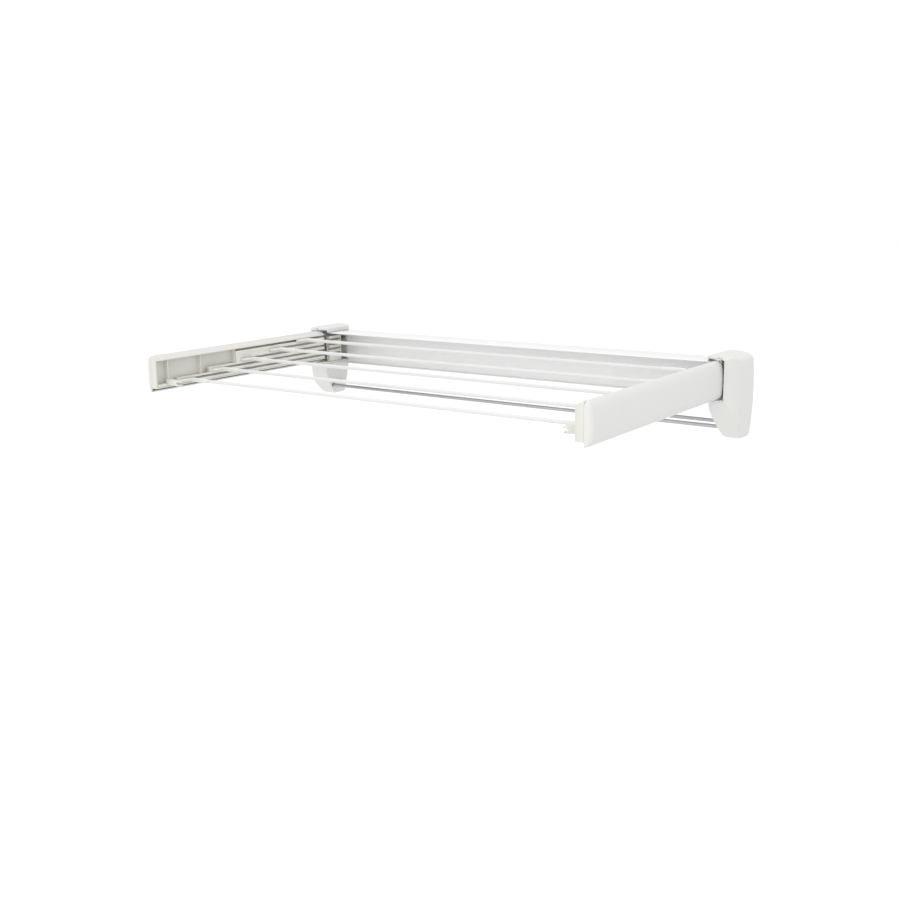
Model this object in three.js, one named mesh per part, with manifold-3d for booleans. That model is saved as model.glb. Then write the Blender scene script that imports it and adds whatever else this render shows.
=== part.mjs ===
/**
 * Wall-mounted pull-out drying rack.
 *
 * A rail lies on the wall between two end brackets. A flat arm is pinned to
 * each bracket on an upright axis and stands out from the wall. Five drying
 * rods hang between the arms, each in its own pair of level grooves, one
 * groove height apart, and slide from their spread places back to the wall.
 * With all five parked under the rail's hood the arms fold in and meet in
 * the middle. Two fixed towel rails run between the brackets' lower ends.
 *
 * Millimetres. X runs along the wall, +Y goes into the wall, +Z is up. The
 * origin is on the wall, half-way along, at the middle of the rail's back.
 * Heights are written from a level just above the brackets' lower end, and one
 * group lowers everything to the origin.
 */
import * as THREE from 'three';
import { mergeVertices } from 'three/addons/utils/BufferGeometryUtils.js';
import Module from 'manifold-3d';

// ---------------------------------------------------------------------------
// Driving dimensions
// ---------------------------------------------------------------------------

const GAP = 0.3; // between pieces that rest on each other
const RUNNING = 0.35; // each side, between a glider and its groove

// drying rods
const ROD_COUNT = 5;
const ROD_PITCH = 86;
const FRONT_ROD_Y = -499;
const PARKED_ROD_Y = -38;
const ROD_RADIUS = 3.35;
const ROD_WALL = 0.8;
const FIRST_GROOVE_Z = 84;
const GROOVE_PITCH = 10.6;

// arms
const HALF_SPAN = 500; // the middle to an arm's outer face
const ARM_THICKNESS = 29;
const BODY_THICKNESS = 15;
const ARM_FRONT = -579.5;
const ARM_REAR = -81;
const BODY_BOTTOM = 74.5;
const BODY_TOP_INNER = 130.5;
const BODY_TOP_OUTER = 138.2;
const COVER_BOTTOM = 66.8;
const COVER_TOP = 138.6;

// arm hinge, an upright axis
const HINGE_X = 491;
const HINGE_Y = -89;
const PIN_RADIUS = 2.5;
const EAR_RADIUS = 5.5;

// wall rail and brackets
const RAIL_END = 468;
const RAIL_TOP = 133.6;
const RAIL_BOTTOM = 55.3;
const RAIL_DEPTH = 68;
const CAP_INNER = 464.5; // the bracket's cap laps over the end of the hood
const BRACKET_OUTER = 526.4;
const BRACKET_TOP = 148;
const BRACKET_DEPTH = 89;
const POCKET_WALL_X = 501.8;
const POCKET_BOTTOM = 62.2;
const POCKET_TOP = 139.2;
const SHELL_WALL = 2.4;

// towel rails
const TOWEL_RAIL_RADIUS = 3.5;
const TOWEL_RAIL_WALL = 1;
const TOWEL_RAIL_END = 505;
const TOWEL_RAILS = { rear: { y: -20.5, z: 13 }, front: { y: -46.4, z: 7.8 } };

// worked out from them
const ARM_INNER = HALF_SPAN - ARM_THICKNESS;
const BODY_OUTER = ARM_INNER + BODY_THICKNESS;
const COVER_INNER = BODY_OUTER + GAP;
const RAIL_MIDDLE = (RAIL_TOP + RAIL_BOTTOM) / 2;
const grooveZ = (k) => FIRST_GROOVE_Z + k * GROOVE_PITCH;
const rodY = (k) => FRONT_ROD_Y + k * ROD_PITCH;
const everyRod = Array.from({ length: ROD_COUNT }, (_, k) => k);

// ---------------------------------------------------------------------------
// Materials
// ---------------------------------------------------------------------------

const finish = (color, roughness, metalness = 0) => (
  new THREE.MeshStandardMaterial({ color, roughness, metalness })
);
const whitePlastic = finish(0xe9e9e6, 0.42);
const shadePlastic = finish(0xe2e1dc, 0.5);
const naturalPlastic = finish(0xe6e5df, 0.45);
const whiteEnamel = finish(0xf2f2f0, 0.3);
const coatedAluminium = finish(0xf0f2f1, 0.38);
const brushedSteel = finish(0xb9bbbd, 0.34, 1);
const zincSteel = finish(0xa9abad, 0.4, 1);

// ---------------------------------------------------------------------------
// Solids
// ---------------------------------------------------------------------------

const wasm = await Module();
wasm.setup();

function solid(geometry) {
  const bare = geometry.clone();
  bare.deleteAttribute('normal');
  bare.deleteAttribute('uv');
  const merged = mergeVertices(bare, 1e-4);
  return new wasm.Manifold(new wasm.Mesh({
    numProp: 3,
    vertProperties: new Float32Array(merged.attributes.position.array),
    triVerts: new Uint32Array(merged.index.array),
  }));
}

function geometryOf(body) {
  const mesh = body.getMesh();
  const geometry = new THREE.BufferGeometry();
  geometry.setAttribute('position', new THREE.BufferAttribute(mesh.vertProperties, 3));
  geometry.setIndex(new THREE.BufferAttribute(mesh.triVerts, 1));
  geometry.computeVertexNormals();
  return geometry;
}

const join = (...bodies) => bodies.reduce((all, one) => all.add(one));
const cut = (body, ...tools) => tools.reduce((left, tool) => left.subtract(tool), body);
const common = (...bodies) => bodies.reduce((all, one) => all.intersect(one));

const AXES = {
  x: new THREE.Vector3(1, 0, 0),
  y: new THREE.Vector3(0, 1, 0),
  z: new THREE.Vector3(0, 0, 1),
};

function extrude(outline, from, to, basis, along) {
  const geometry = new THREE.ExtrudeGeometry(outline, {
    depth: to - from, bevelEnabled: false, curveSegments: 6,
  });
  geometry.applyMatrix4(new THREE.Matrix4().makeBasis(...basis));
  geometry.translate(...along);
  return solid(geometry);
}

// an outline of (y, z), along X
const prismX = (outline, from, to) => (
  extrude(outline, from, to, [AXES.y, AXES.z, AXES.x], [from, 0, 0])
);
// an outline of (x, z), along Y
const prismY = (outline, from, to) => (
  extrude(outline, from, to, [AXES.x, AXES.z, AXES.y.clone().negate()], [0, to, 0])
);
// an outline of (x, y), along Z
const prismZ = (outline, from, to) => (
  extrude(outline, from, to, [AXES.x, AXES.y, AXES.z], [0, 0, from])
);

function polygon(points) {
  return new THREE.Shape(points.map(([u, v]) => new THREE.Vector2(u, v)));
}

function block(x0, x1, y0, y1, z0, z1) {
  const geometry = new THREE.BoxGeometry(x1 - x0, y1 - y0, z1 - z0);
  geometry.translate((x0 + x1) / 2, (y0 + y1) / 2, (z0 + z1) / 2);
  return solid(geometry);
}

// a turned solid: profile points are [radius, distance along the axis]
function turned(profile, axis, at, segments = 16) {
  const geometry = new THREE.LatheGeometry(
    profile.map(([r, t]) => new THREE.Vector2(r, t)), segments,
  );
  if (axis === 'x') geometry.rotateZ(-Math.PI / 2);
  if (axis === 'z') geometry.rotateX(Math.PI / 2);
  geometry.translate(...at);
  return solid(geometry);
}

function cylinder(axis, radius, from, to, at, segments = 16) {
  return turned([[0, from], [radius, from], [radius, to], [0, to]], axis, at, segments);
}

// ---------------------------------------------------------------------------
// Scene
// ---------------------------------------------------------------------------

const rack = new THREE.Group();
const heights = new THREE.Group();
heights.position.z = -RAIL_MIDDLE;
rack.add(heights);

function place(name, body, material) {
  const mesh = new THREE.Mesh(geometryOf(body), material);
  mesh.name = name;
  heights.add(mesh);
}

function mirrored(geometry) {
  const copy = geometry.clone();
  copy.scale(-1, 1, 1);
  const order = copy.index.array;
  for (let i = 0; i < order.length; i += 3) {
    [order[i], order[i + 1]] = [order[i + 1], order[i]];
  }
  copy.computeVertexNormals();
  return copy;
}

// the right-hand piece as made, and its mirror image on the left
function placePair(name, body, material) {
  place(`right_${name}`, body, material);
  const left = new THREE.Mesh(mirrored(geometryOf(body)), material);
  left.name = `left_${name}`;
  heights.add(left);
}

// ---------------------------------------------------------------------------
// Wall rail: one extrusion with a hood, a back and two screw ports under the hood
// ---------------------------------------------------------------------------

const RAIL_BACK = 2.2;
const HOOD = 2.2;
const PORT = { radius: 2, size: 7, slit: 1.6 };
const PORT_Z = RAIL_TOP - HOOD - PORT.size / 2;
const PORT_YS = { rear: -RAIL_BACK - PORT.size / 2, front: -17 };

function wallRail() {
  const section = prismX(polygon([
    [0, RAIL_BOTTOM],
    [0, RAIL_TOP],
    [-RAIL_DEPTH + 1.2, RAIL_TOP],
    [-RAIL_DEPTH, RAIL_TOP - 1.2],
    [-RAIL_DEPTH, RAIL_TOP - HOOD],
    [-RAIL_BACK, RAIL_TOP - HOOD],
    [-RAIL_BACK, RAIL_BOTTOM + 1.8],
    [-RAIL_BACK - 3.4, RAIL_BOTTOM + 1.8],
    [-RAIL_BACK - 3.4, RAIL_BOTTOM],
  ]), -RAIL_END, RAIL_END);
  let rail = section;
  const half = PORT.size / 2;
  const reach = RAIL_END + 1;
  for (const y of Object.values(PORT_YS)) {
    rail = rail.add(block(-RAIL_END, RAIL_END, y - half, y + half + 0.5, PORT_Z - half, RAIL_TOP - 1));
    rail = rail.subtract(cylinder('x', PORT.radius, -reach, reach, [0, y, PORT_Z], 12));
    rail = rail.subtract(block(
      -reach, reach, y - PORT.slit / 2, y + PORT.slit / 2, PORT_Z - PORT.size, PORT_Z,
    ));
  }
  return rail;
}

place('wall_rail', wallRail(), coatedAluminium);

// ---------------------------------------------------------------------------
// Bracket outlines, shared by the shell and the plate behind it
// ---------------------------------------------------------------------------

// seen from the front, in (x, z)
function bracketFront(inset) {
  const outer = BRACKET_OUTER - inset;
  const inner = CAP_INNER + inset;
  const top = BRACKET_TOP - inset;
  const shape = new THREE.Shape();
  shape.moveTo(inner, RAIL_TOP + GAP);
  shape.lineTo(inner, top - 5.4);
  shape.quadraticCurveTo(inner + 3, top - 1.4, inner + 13.5, top - 0.4);
  shape.quadraticCurveTo(495, top + 0.6, 508, top - 2);
  shape.quadraticCurveTo(518, top - 4.5, outer - 4.9, top - 8);
  shape.quadraticCurveTo(outer - 2.2, top - 10, outer - 2.2, BRACKET_TOP - 15);
  shape.quadraticCurveTo(outer + 2, 80, outer - 2.4, 20);
  shape.quadraticCurveTo(outer - 4.5, 0, outer - 6.7, -10.5);
  shape.quadraticCurveTo(outer - 7.4, -13.4 + inset, outer - 10, -13.8 + inset);
  shape.quadraticCurveTo(503, -15.4 + inset, 488 + inset, -13.9 + inset);
  shape.quadraticCurveTo(485.4 + inset, -13.5 + inset, 484.4 + inset, -11);
  shape.quadraticCurveTo(474 + inset, 24, 469 + inset, POCKET_BOTTOM);
  shape.lineTo(inner, POCKET_BOTTOM + 4);
  return shape;
}

// seen from the side, in (y, z)
function bracketSide(inset) {
  const front = -BRACKET_DEPTH + inset;
  const back = Math.sign(inset);
  const top = BRACKET_TOP - inset;
  const shape = new THREE.Shape();
  shape.moveTo(back, -16);
  shape.lineTo(-28 + inset, -16);
  shape.quadraticCurveTo(-39 + inset, -13, -50 + inset, 0);
  shape.quadraticCurveTo(front + 9, 36, front + 1, 66);
  shape.quadraticCurveTo(front, 72, front, 80);
  shape.lineTo(front, top - 12);
  shape.quadraticCurveTo(front + 0.6, top - 5.6, front + 6, top - 4.4);
  shape.quadraticCurveTo(front + 20, top - 1, front + 34, top - 0.8);
  shape.lineTo(back, top + 1);
  return shape;
}

// seen from above, in (x, y): a bow, deepest beside the arm
function bracketPlan(inset) {
  const outer = BRACKET_OUTER - inset;
  const front = -BRACKET_DEPTH + inset;
  const back = Math.sign(inset);
  const shape = new THREE.Shape();
  shape.moveTo(CAP_INNER - 1, back);
  shape.lineTo(outer, back);
  shape.lineTo(outer, -40);
  shape.quadraticCurveTo(outer - 0.6, front + 23, outer - 12, front + 9);
  shape.quadraticCurveTo(outer - 18, front + 1.4, 499, front);
  shape.quadraticCurveTo(484, front + 1, CAP_INNER - 1, front + 14);
  return shape;
}

function bracketBulk(inset) {
  const bulk = common(
    prismY(bracketFront(inset), -BRACKET_DEPTH - 1, 1.5),
    prismX(bracketSide(inset), CAP_INNER - 1, BRACKET_OUTER + 2),
    prismZ(bracketPlan(inset), -17, BRACKET_TOP + 3),
  );
  // the pocket for the arm, and the way in for the end of the hood
  const front = -BRACKET_DEPTH - 5;
  const skirt = CAP_INNER + SHELL_WALL;
  return cut(
    bulk,
    block(skirt, POCKET_WALL_X + inset, front, 5, POCKET_BOTTOM, POCKET_TOP),
    block(CAP_INNER - 5, skirt + 1, front, 5, POCKET_BOTTOM, RAIL_TOP + GAP),
  );
}

// ---------------------------------------------------------------------------
// Bracket shell: the moulded cover, open to the wall
// ---------------------------------------------------------------------------

const PLATE = 3;
const SHELF = 3;
const SHELF_FRONT = -52;
const LOWER_SHELF_Z = POCKET_BOTTOM + GAP;
const UPPER_SHELF_Z = POCKET_TOP + GAP;

// the tongue that carries the upper hinge ear out through the shell
function tongue(slack) {
  const low = UPPER_SHELF_Z - slack;
  const high = UPPER_SHELF_Z + SHELF + slack;
  return join(
    block(
      HINGE_X - EAR_RADIUS - slack, HINGE_X + EAR_RADIUS + slack,
      HINGE_Y, -BRACKET_DEPTH + 24, low, high,
    ),
    cylinder('z', EAR_RADIUS + slack, low, high, [HINGE_X, HINGE_Y, 0]),
  );
}

function bracketShell() {
  const holes = Object.values(TOWEL_RAILS).map(({ y, z }) => (
    cylinder('x', TOWEL_RAIL_RADIUS + 0.5, 460, 494, [0, y, z])
  ));
  // room for the base's wall plate and lower shelf, which stand in the pocket
  const passages = [
    block(RAIL_END, 508, -PLATE - GAP, 2, POCKET_BOTTOM, POCKET_TOP),
    block(RAIL_END, 508, SHELF_FRONT - GAP, 2, POCKET_BOTTOM, LOWER_SHELF_Z + SHELF + GAP),
  ];
  return cut(bracketBulk(0), bracketBulk(SHELL_WALL), ...holes, ...passages, tongue(GAP));
}

placePair('bracket_shell', bracketShell(), whitePlastic);

// ---------------------------------------------------------------------------
// Bracket base: wall plate, rail end wall, hinge shelves, towel rail sockets
// ---------------------------------------------------------------------------

const END_WALL_X = RAIL_END + GAP;
const SOCKET = { inner: 496, outer: 510, floor: 2 };
const WALL_SCREWS = { upper: { x: 480, z: 114 }, lower: { x: 500, z: 40 } };
const SCREW_RADIUS = 2.3;
const PORT_SCREW_RADIUS = 1.6;

function bracketBase() {
  const inset = SHELL_WALL + GAP;
  const space = bracketBulk(inset);
  const plate = common(
    space,
    block(END_WALL_X + 2, BRACKET_OUTER, -PLATE, 0, -10, UPPER_SHELF_Z + SHELF),
  );
  const backing = block(END_WALL_X + 2, POCKET_WALL_X + 5, -PLATE, 0, POCKET_BOTTOM, POCKET_TOP);
  const endWall = join(
    block(END_WALL_X, END_WALL_X + 2.6, -5, 0, LOWER_SHELF_Z, POCKET_TOP),
    block(END_WALL_X, END_WALL_X + 2.6, -22, 0, PORT_Z - 5, POCKET_TOP),
  );
  // the lower shelf is the lid of the lower wing, and follows its bow
  const lowerShelf = join(
    common(
      prismZ(bracketPlan(0.4), LOWER_SHELF_Z, LOWER_SHELF_Z + SHELF),
      block(
        END_WALL_X, POCKET_WALL_X - GAP, -BRACKET_DEPTH, 0,
        LOWER_SHELF_Z, LOWER_SHELF_Z + SHELF,
      ),
    ),
    block(
      POCKET_WALL_X - 2, POCKET_WALL_X + 14, SHELF_FRONT, 0,
      LOWER_SHELF_Z, LOWER_SHELF_Z + SHELF,
    ),
    cylinder('z', EAR_RADIUS, LOWER_SHELF_Z, LOWER_SHELF_Z + SHELF, [HINGE_X, HINGE_Y, 0]),
  );
  const upperShelf = join(
    common(space, block(
      END_WALL_X, POCKET_WALL_X + 14, -BRACKET_DEPTH, 0,
      UPPER_SHELF_Z, UPPER_SHELF_Z + SHELF,
    )),
    tongue(0),
  );
  const gusset = common(space, block(
    POCKET_WALL_X + 8, POCKET_WALL_X + 11, -60, -1, LOWER_SHELF_Z, UPPER_SHELF_Z + SHELF,
  ));
  const socket = common(space, block(SOCKET.inner, SOCKET.outer, -56, -1, 0, 21));
  let base = join(plate, backing, endWall, lowerShelf, upperShelf, gusset, socket);
  for (const { y, z } of Object.values(TOWEL_RAILS)) {
    base = base.subtract(cylinder(
      'x', TOWEL_RAIL_RADIUS + GAP, SOCKET.inner - 1, SOCKET.outer - SOCKET.floor, [0, y, z],
    ));
  }
  for (const { x, z } of Object.values(WALL_SCREWS)) {
    base = base.subtract(cylinder('y', SCREW_RADIUS + GAP, -PLATE - 1, 1, [x, 0, z], 12));
  }
  for (const y of Object.values(PORT_YS)) {
    base = base.subtract(cylinder(
      'x', PORT_SCREW_RADIUS + GAP, END_WALL_X - 1, END_WALL_X + 4, [0, y, PORT_Z], 12,
    ));
  }
  return base.subtract(cylinder(
    'z', PIN_RADIUS + 0.1, POCKET_BOTTOM - 1, BRACKET_TOP, [HINGE_X, HINGE_Y, 0],
  ));
}

placePair('bracket_base', bracketBase(), shadePlastic);

// ---------------------------------------------------------------------------
// Fasteners
// ---------------------------------------------------------------------------

// a cheese-head screw with its tip at "from" and its head past "to"
function screw(axis, radius, from, to, headRadius, headHeight, at) {
  const top = to + headHeight;
  const body = turned([
    [0, from], [radius, from], [radius, to], [headRadius, to],
    [headRadius, top - 0.6], [headRadius - 0.6, top], [0, top],
  ], axis, at, 12);
  const half = 0.4;
  const [x, y, z] = at;
  const long = 2 * headRadius;
  if (axis === 'x') {
    return body.subtract(block(top - 1, top + 1, y - half, y + half, z - long, z + long));
  }
  return body.subtract(block(x - half, x + half, y + top - 1, y + top + 1, z - long, z + long));
}

for (const [where, { x, z }] of Object.entries(WALL_SCREWS)) {
  // made along +Y, then turned about to come out of the plate's front
  const made = geometryOf(screw(
    'y', SCREW_RADIUS, 0, PLATE + GAP, 4.4, 2.8, [0, 0, 0],
  ));
  made.rotateZ(Math.PI);
  made.translate(x, 0, z);
  placePair(`wall_screw_${where}`, solid(made), zincSteel);
}

for (const [where, y] of Object.entries(PORT_YS)) {
  const made = screw(
    'x', PORT_SCREW_RADIUS, RAIL_END - 12, END_WALL_X + 2.6 + GAP, 2.4, 1.8, [0, y, PORT_Z],
  );
  placePair(`rail_screw_${where}`, made, zincSteel);
}

// ---------------------------------------------------------------------------
// Arm body: a channel that opens inwards, with a sloping top
// ---------------------------------------------------------------------------

const FRONT_WALL = 2.8;
const SIDE_WALL = 2.4;
const FLANGE = 2;
const FLOOR = 2.5;
const RIB_Y = [-546, -459, -363];
const RIB = 2.2;
const LUG_RADIUS = 4.2;
const LUGS = { upper: [110, 121], lower: [76, 87] };
const TOP_SLOPE = (BODY_TOP_OUTER - BODY_TOP_INNER) / BODY_THICKNESS;
const bodyTop = (x) => BODY_TOP_INNER + (x - ARM_INNER) * TOP_SLOPE;

// guide insert: where its top steps up, from the front
const GUIDE_OUTER = 481.2;
const GUIDE_BOTTOM = BODY_BOTTOM + FLOOR + 0.4;
const GUIDE_TOP = grooveZ(ROD_COUNT - 1) - 2.2;
const GUIDE_FRONT = ARM_FRONT + FRONT_WALL + GAP;
const GUIDE_REAR = -82.5;
const GUIDE_STEPS = [
  { y: GUIDE_FRONT, top: grooveZ(0) - 2.2 },
  { y: rodY(0) - 25, top: grooveZ(0) + GROOVE_PITCH / 2 },
  { y: rodY(1) - 25, top: grooveZ(1) + GROOVE_PITCH / 2 },
  { y: RIB_Y[2] + RIB / 2 + GAP, top: GUIDE_TOP },
];
const guideTopAt = (y) => GUIDE_STEPS.filter((step) => step.y <= y).at(-1).top;

function armBody() {
  const outer = prismY(polygon([
    [ARM_INNER, BODY_BOTTOM],
    [BODY_OUTER, BODY_BOTTOM],
    [BODY_OUTER, BODY_TOP_OUTER],
    [ARM_INNER, BODY_TOP_INNER],
  ]), ARM_FRONT, ARM_REAR);
  const wallX = BODY_OUTER - SIDE_WALL;
  const channel = prismY(polygon([
    [ARM_INNER - 1, BODY_BOTTOM + FLOOR],
    [wallX, BODY_BOTTOM + FLOOR],
    [wallX, bodyTop(wallX) - FLANGE],
    [ARM_INNER - 1, bodyTop(ARM_INNER - 1) - FLANGE],
  ]), ARM_FRONT + FRONT_WALL, ARM_REAR + 1);
  const ribs = RIB_Y.map((y) => prismY(polygon([
    [ARM_INNER + 2.5, guideTopAt(y) + GAP],
    [wallX + 1, guideTopAt(y) + GAP],
    [wallX + 1, bodyTop(wallX + 1) - 1],
    [ARM_INNER + 2.5, bodyTop(ARM_INNER + 2.5) - 1],
  ]), y - RIB / 2, y + RIB / 2));
  // lugs that stand out into the cover, around the hinge
  const lugs = Object.values(LUGS).map(([from, to]) => join(
    cylinder('z', LUG_RADIUS, from, to, [HINGE_X, HINGE_Y, 0]),
    block(wallX + 1, HINGE_X, HINGE_Y - 3, HINGE_Y + 3, from, to),
  ));
  const pinHole = cylinder('z', PIN_RADIUS + 0.1, 50, 150, [HINGE_X, HINGE_Y, 0]);
  return join(cut(outer, channel), ...ribs, ...lugs).subtract(pinHole);
}

placePair('arm_body', armBody(), shadePlastic);

// ---------------------------------------------------------------------------
// Arm cover: the crowned outer shell
// ---------------------------------------------------------------------------

function coverSection(inset) {
  const outer = HALF_SPAN - inset;
  const shape = new THREE.Shape();
  shape.moveTo(COVER_INNER - inset, COVER_BOTTOM + inset);
  shape.lineTo(COVER_INNER + 4, COVER_BOTTOM + inset);
  shape.quadraticCurveTo(outer - 1.5, COVER_BOTTOM + 2.5 + inset, outer - 0.8, 79);
  shape.quadraticCurveTo(outer + 0.6, 102, outer - 1.6, 121);
  shape.quadraticCurveTo(outer - 3, 134 - inset, outer - 9, COVER_TOP - 0.4 - inset);
  shape.lineTo(COVER_INNER - inset, COVER_TOP - inset);
  return shape;
}

function coverPlan(inset) {
  const outer = HALF_SPAN + 1 - inset;
  const front = ARM_FRONT + inset;
  const rear = ARM_REAR - 2;
  const shape = new THREE.Shape();
  shape.moveTo(COVER_INNER - inset, rear + inset);
  shape.lineTo(BODY_OUTER + 11.5 - inset, rear + inset);
  shape.quadraticCurveTo(outer - 0.3, rear - 0.2, outer, rear - 3);
  shape.lineTo(outer, front + 11);
  shape.quadraticCurveTo(outer - 0.6, front + 2, outer - 9, front);
  shape.lineTo(COVER_INNER - inset, front);
  return shape;
}

function coverBulk(inset) {
  const chamfer = 7;
  const side = polygon([
    [ARM_FRONT - 1, COVER_BOTTOM - 1],
    [ARM_REAR, COVER_BOTTOM - 1],
    [ARM_REAR, COVER_TOP + 1],
    [ARM_FRONT + chamfer + 1 + inset, COVER_TOP + 1],
    [ARM_FRONT - 1 + inset, COVER_TOP - chamfer - 1],
  ]);
  return common(
    prismY(coverSection(inset), ARM_FRONT - 1, ARM_REAR),
    prismZ(coverPlan(inset), COVER_BOTTOM - 1, COVER_TOP + 1),
    prismX(side, COVER_INNER - 5, HALF_SPAN + 5),
  );
}

placePair('arm_cover', cut(
  coverBulk(0),
  coverBulk(SHELL_WALL),
  cylinder('z', PIN_RADIUS + GAP, COVER_BOTTOM - 5, COVER_TOP + 5, [HINGE_X, HINGE_Y, 0]),
), whitePlastic);

// ---------------------------------------------------------------------------
// Guide insert in each arm, and the parking comb that carries it on
// ---------------------------------------------------------------------------

const GLIDER = {
  blade: 1.9, // half its height
  keeper: 3.2, // half its height
  keeperInner: 474,
  keeperOuter: 478.6,
  outer: 479,
  front: 13,
  rear: 12,
  keeperReach: 10,
};

// the space one glider runs in: a slot, and the chamber behind it
function groove(k, from, to) {
  const z = grooveZ(k);
  const slot = GLIDER.blade + RUNNING;
  const chamber = GLIDER.keeper + GAP;
  return join(
    block(ARM_INNER - 1, GLIDER.outer + RUNNING, from, to, z - slot, z + slot),
    block(
      GLIDER.keeperInner - RUNNING, GLIDER.outer + RUNNING,
      from + GLIDER.front - GLIDER.keeperReach, to, z - chamber, z + chamber,
    ),
  );
}

function guideInsert() {
  const outline = [[GUIDE_FRONT, GUIDE_BOTTOM]];
  GUIDE_STEPS.forEach((step, i) => {
    const next = GUIDE_STEPS[i + 1];
    outline.push([step.y, step.top], [next ? next.y : GUIDE_REAR, step.top]);
  });
  outline.push([GUIDE_REAR, GUIDE_BOTTOM]);
  const grooves = everyRod.map((k) => (
    groove(k, rodY(k) - GLIDER.front - 0.5, GUIDE_REAR + 1)
  ));
  return cut(prismX(polygon(outline), ARM_INNER, GUIDE_OUTER), ...grooves);
}

placePair('guide_insert', guideInsert(), naturalPlastic);

function parkingComb() {
  const [from, to] = [-64, -24];
  const comb = block(ARM_INNER, GUIDE_OUTER, from, to, LOWER_SHELF_Z + SHELF + GAP, GUIDE_TOP);
  const stop = PARKED_ROD_Y + GLIDER.rear + 0.5;
  return cut(comb, ...everyRod.map((k) => groove(k, from - 20, stop)));
}

placePair('parking_comb', parkingComb(), naturalPlastic);

// ---------------------------------------------------------------------------
// Closing clip near each arm's front, which snaps on the lowest parked rod
// ---------------------------------------------------------------------------

function closingClip() {
  const y = -549;
  const half = 4.5;
  const z = FIRST_GROOVE_Z;
  // where the lowest parked rod comes to lie once the arm is folded in
  const grip = HINGE_X - (PARKED_ROD_Y - HINGE_Y);
  const tip = grip - 5.5;
  const shape = new THREE.Shape();
  shape.moveTo(ARM_INNER + 1.5, z - 1);
  shape.lineTo(ARM_INNER + 1.5, z + 7);
  shape.lineTo(grip + 9, z + 6.4);
  shape.lineTo(tip + 3, z + 6);
  shape.quadraticCurveTo(tip, z + 5.6, tip, z + 3.4);
  shape.lineTo(tip + 4, z + 2.9);
  shape.quadraticCurveTo(grip, z + 5, grip + 4.2, z);
  shape.quadraticCurveTo(grip, z - 5, tip + 4, z - 2.9);
  shape.lineTo(tip, z - 3.4);
  shape.quadraticCurveTo(tip, z - 5, tip + 3, z - 5.2);
  shape.lineTo(grip + 9, z - 4.8);
  shape.lineTo(ARM_INNER - GAP, z - 4.6);
  shape.lineTo(ARM_INNER - GAP, z - 1);
  return prismY(shape, y - half, y + half);
}

placePair('closing_clip', closingClip(), naturalPlastic);

// ---------------------------------------------------------------------------
// Hinge pins
// ---------------------------------------------------------------------------

const LOWER_PIN = { from: LOWER_SHELF_Z, to: LUGS.lower[1] + 0.4 };
const UPPER_PIN = { from: LUGS.upper[0] - 0.4, to: UPPER_SHELF_Z + SHELF + 0.4 };

for (const [where, { from, to }] of [['upper', UPPER_PIN], ['lower', LOWER_PIN]]) {
  const pin = turned([
    [0, from], [PIN_RADIUS - 0.5, from], [PIN_RADIUS, from + 0.5],
    [PIN_RADIUS, to - 0.5], [PIN_RADIUS - 0.5, to], [0, to],
  ], 'z', [HINGE_X, HINGE_Y, 0]);
  placePair(`hinge_pin_${where}`, pin, zincSteel);
}

// ---------------------------------------------------------------------------
// Drying rods: a tube with a glider on each end
// ---------------------------------------------------------------------------

const SLEEVE = { inner: 410, outer: 458, bore: 456 };

function tube(radius, wall, halfLength, y, z) {
  const ring = new THREE.Shape().absarc(y, z, radius, 0, 2 * Math.PI);
  ring.holes.push(new THREE.Path().absarc(y, z, radius - wall, 0, 2 * Math.PI));
  return prismX(ring, -halfLength, halfLength);
}

function glider(k) {
  const y = rodY(k);
  const z = grooveZ(k);
  const sleeve = turned([
    [0, SLEEVE.bore], [ROD_RADIUS + GAP, SLEEVE.bore], [ROD_RADIUS + GAP, SLEEVE.inner],
    [4.05, SLEEVE.inner], [4.15, SLEEVE.inner + 4], [4.4, SLEEVE.outer - 10],
    [4.35, SLEEVE.outer - 2], [3.3, SLEEVE.outer + 1], [0, SLEEVE.outer + 1],
  ], 'x', [0, y, z]);
  const web = new THREE.Shape();
  web.moveTo(SLEEVE.outer - 1, y - 2);
  web.lineTo(SLEEVE.outer - 1, y + 2);
  web.quadraticCurveTo(ARM_INNER - 6, y + 5, ARM_INNER - 4, y + GLIDER.rear);
  web.lineTo(GLIDER.outer, y + GLIDER.rear);
  web.lineTo(GLIDER.outer, y - GLIDER.front);
  web.lineTo(ARM_INNER - 0.6, y - GLIDER.front);
  web.lineTo(ARM_INNER - 0.6, y - 22);
  web.lineTo(ARM_INNER - 5, y - 22);
  web.quadraticCurveTo(ARM_INNER - 9, y - 7, SLEEVE.outer - 1, y - 2);
  const keeper = block(
    GLIDER.keeperInner, GLIDER.keeperOuter, y - GLIDER.keeperReach, y + GLIDER.keeperReach,
    z - GLIDER.keeper, z + GLIDER.keeper,
  );
  return join(sleeve, prismZ(web, z - GLIDER.blade, z + GLIDER.blade), keeper);
}

for (const k of everyRod) {
  const number = k + 1;
  place(
    `drying_rod_${number}`,
    tube(ROD_RADIUS, ROD_WALL, SLEEVE.bore - GAP, rodY(k), grooveZ(k)),
    whiteEnamel,
  );
  placePair(`rod_glider_${number}`, glider(k), whitePlastic);
}

// ---------------------------------------------------------------------------
// Towel rails
// ---------------------------------------------------------------------------

for (const [where, { y, z }] of Object.entries(TOWEL_RAILS)) {
  place(
    `towel_rail_${where}`,
    tube(TOWEL_RAIL_RADIUS, TOWEL_RAIL_WALL, TOWEL_RAIL_END, y, z),
    brushedSteel,
  );
}

export default rack;
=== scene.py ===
# %% [markdown]
# # A wall-mounted pull-out drying rack
#
# The rack is a hooded rail between two end brackets, two arms that stand out
# from them, five rods that slide along grooves in the arms, and two towel
# rails below. Everything is white or bare metal, so shape, gloss and small
# shadows have to do all the work. The fixed frame comes first: every piece
# takes its place from it.

# %% Load the fixed frame
import math

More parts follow.
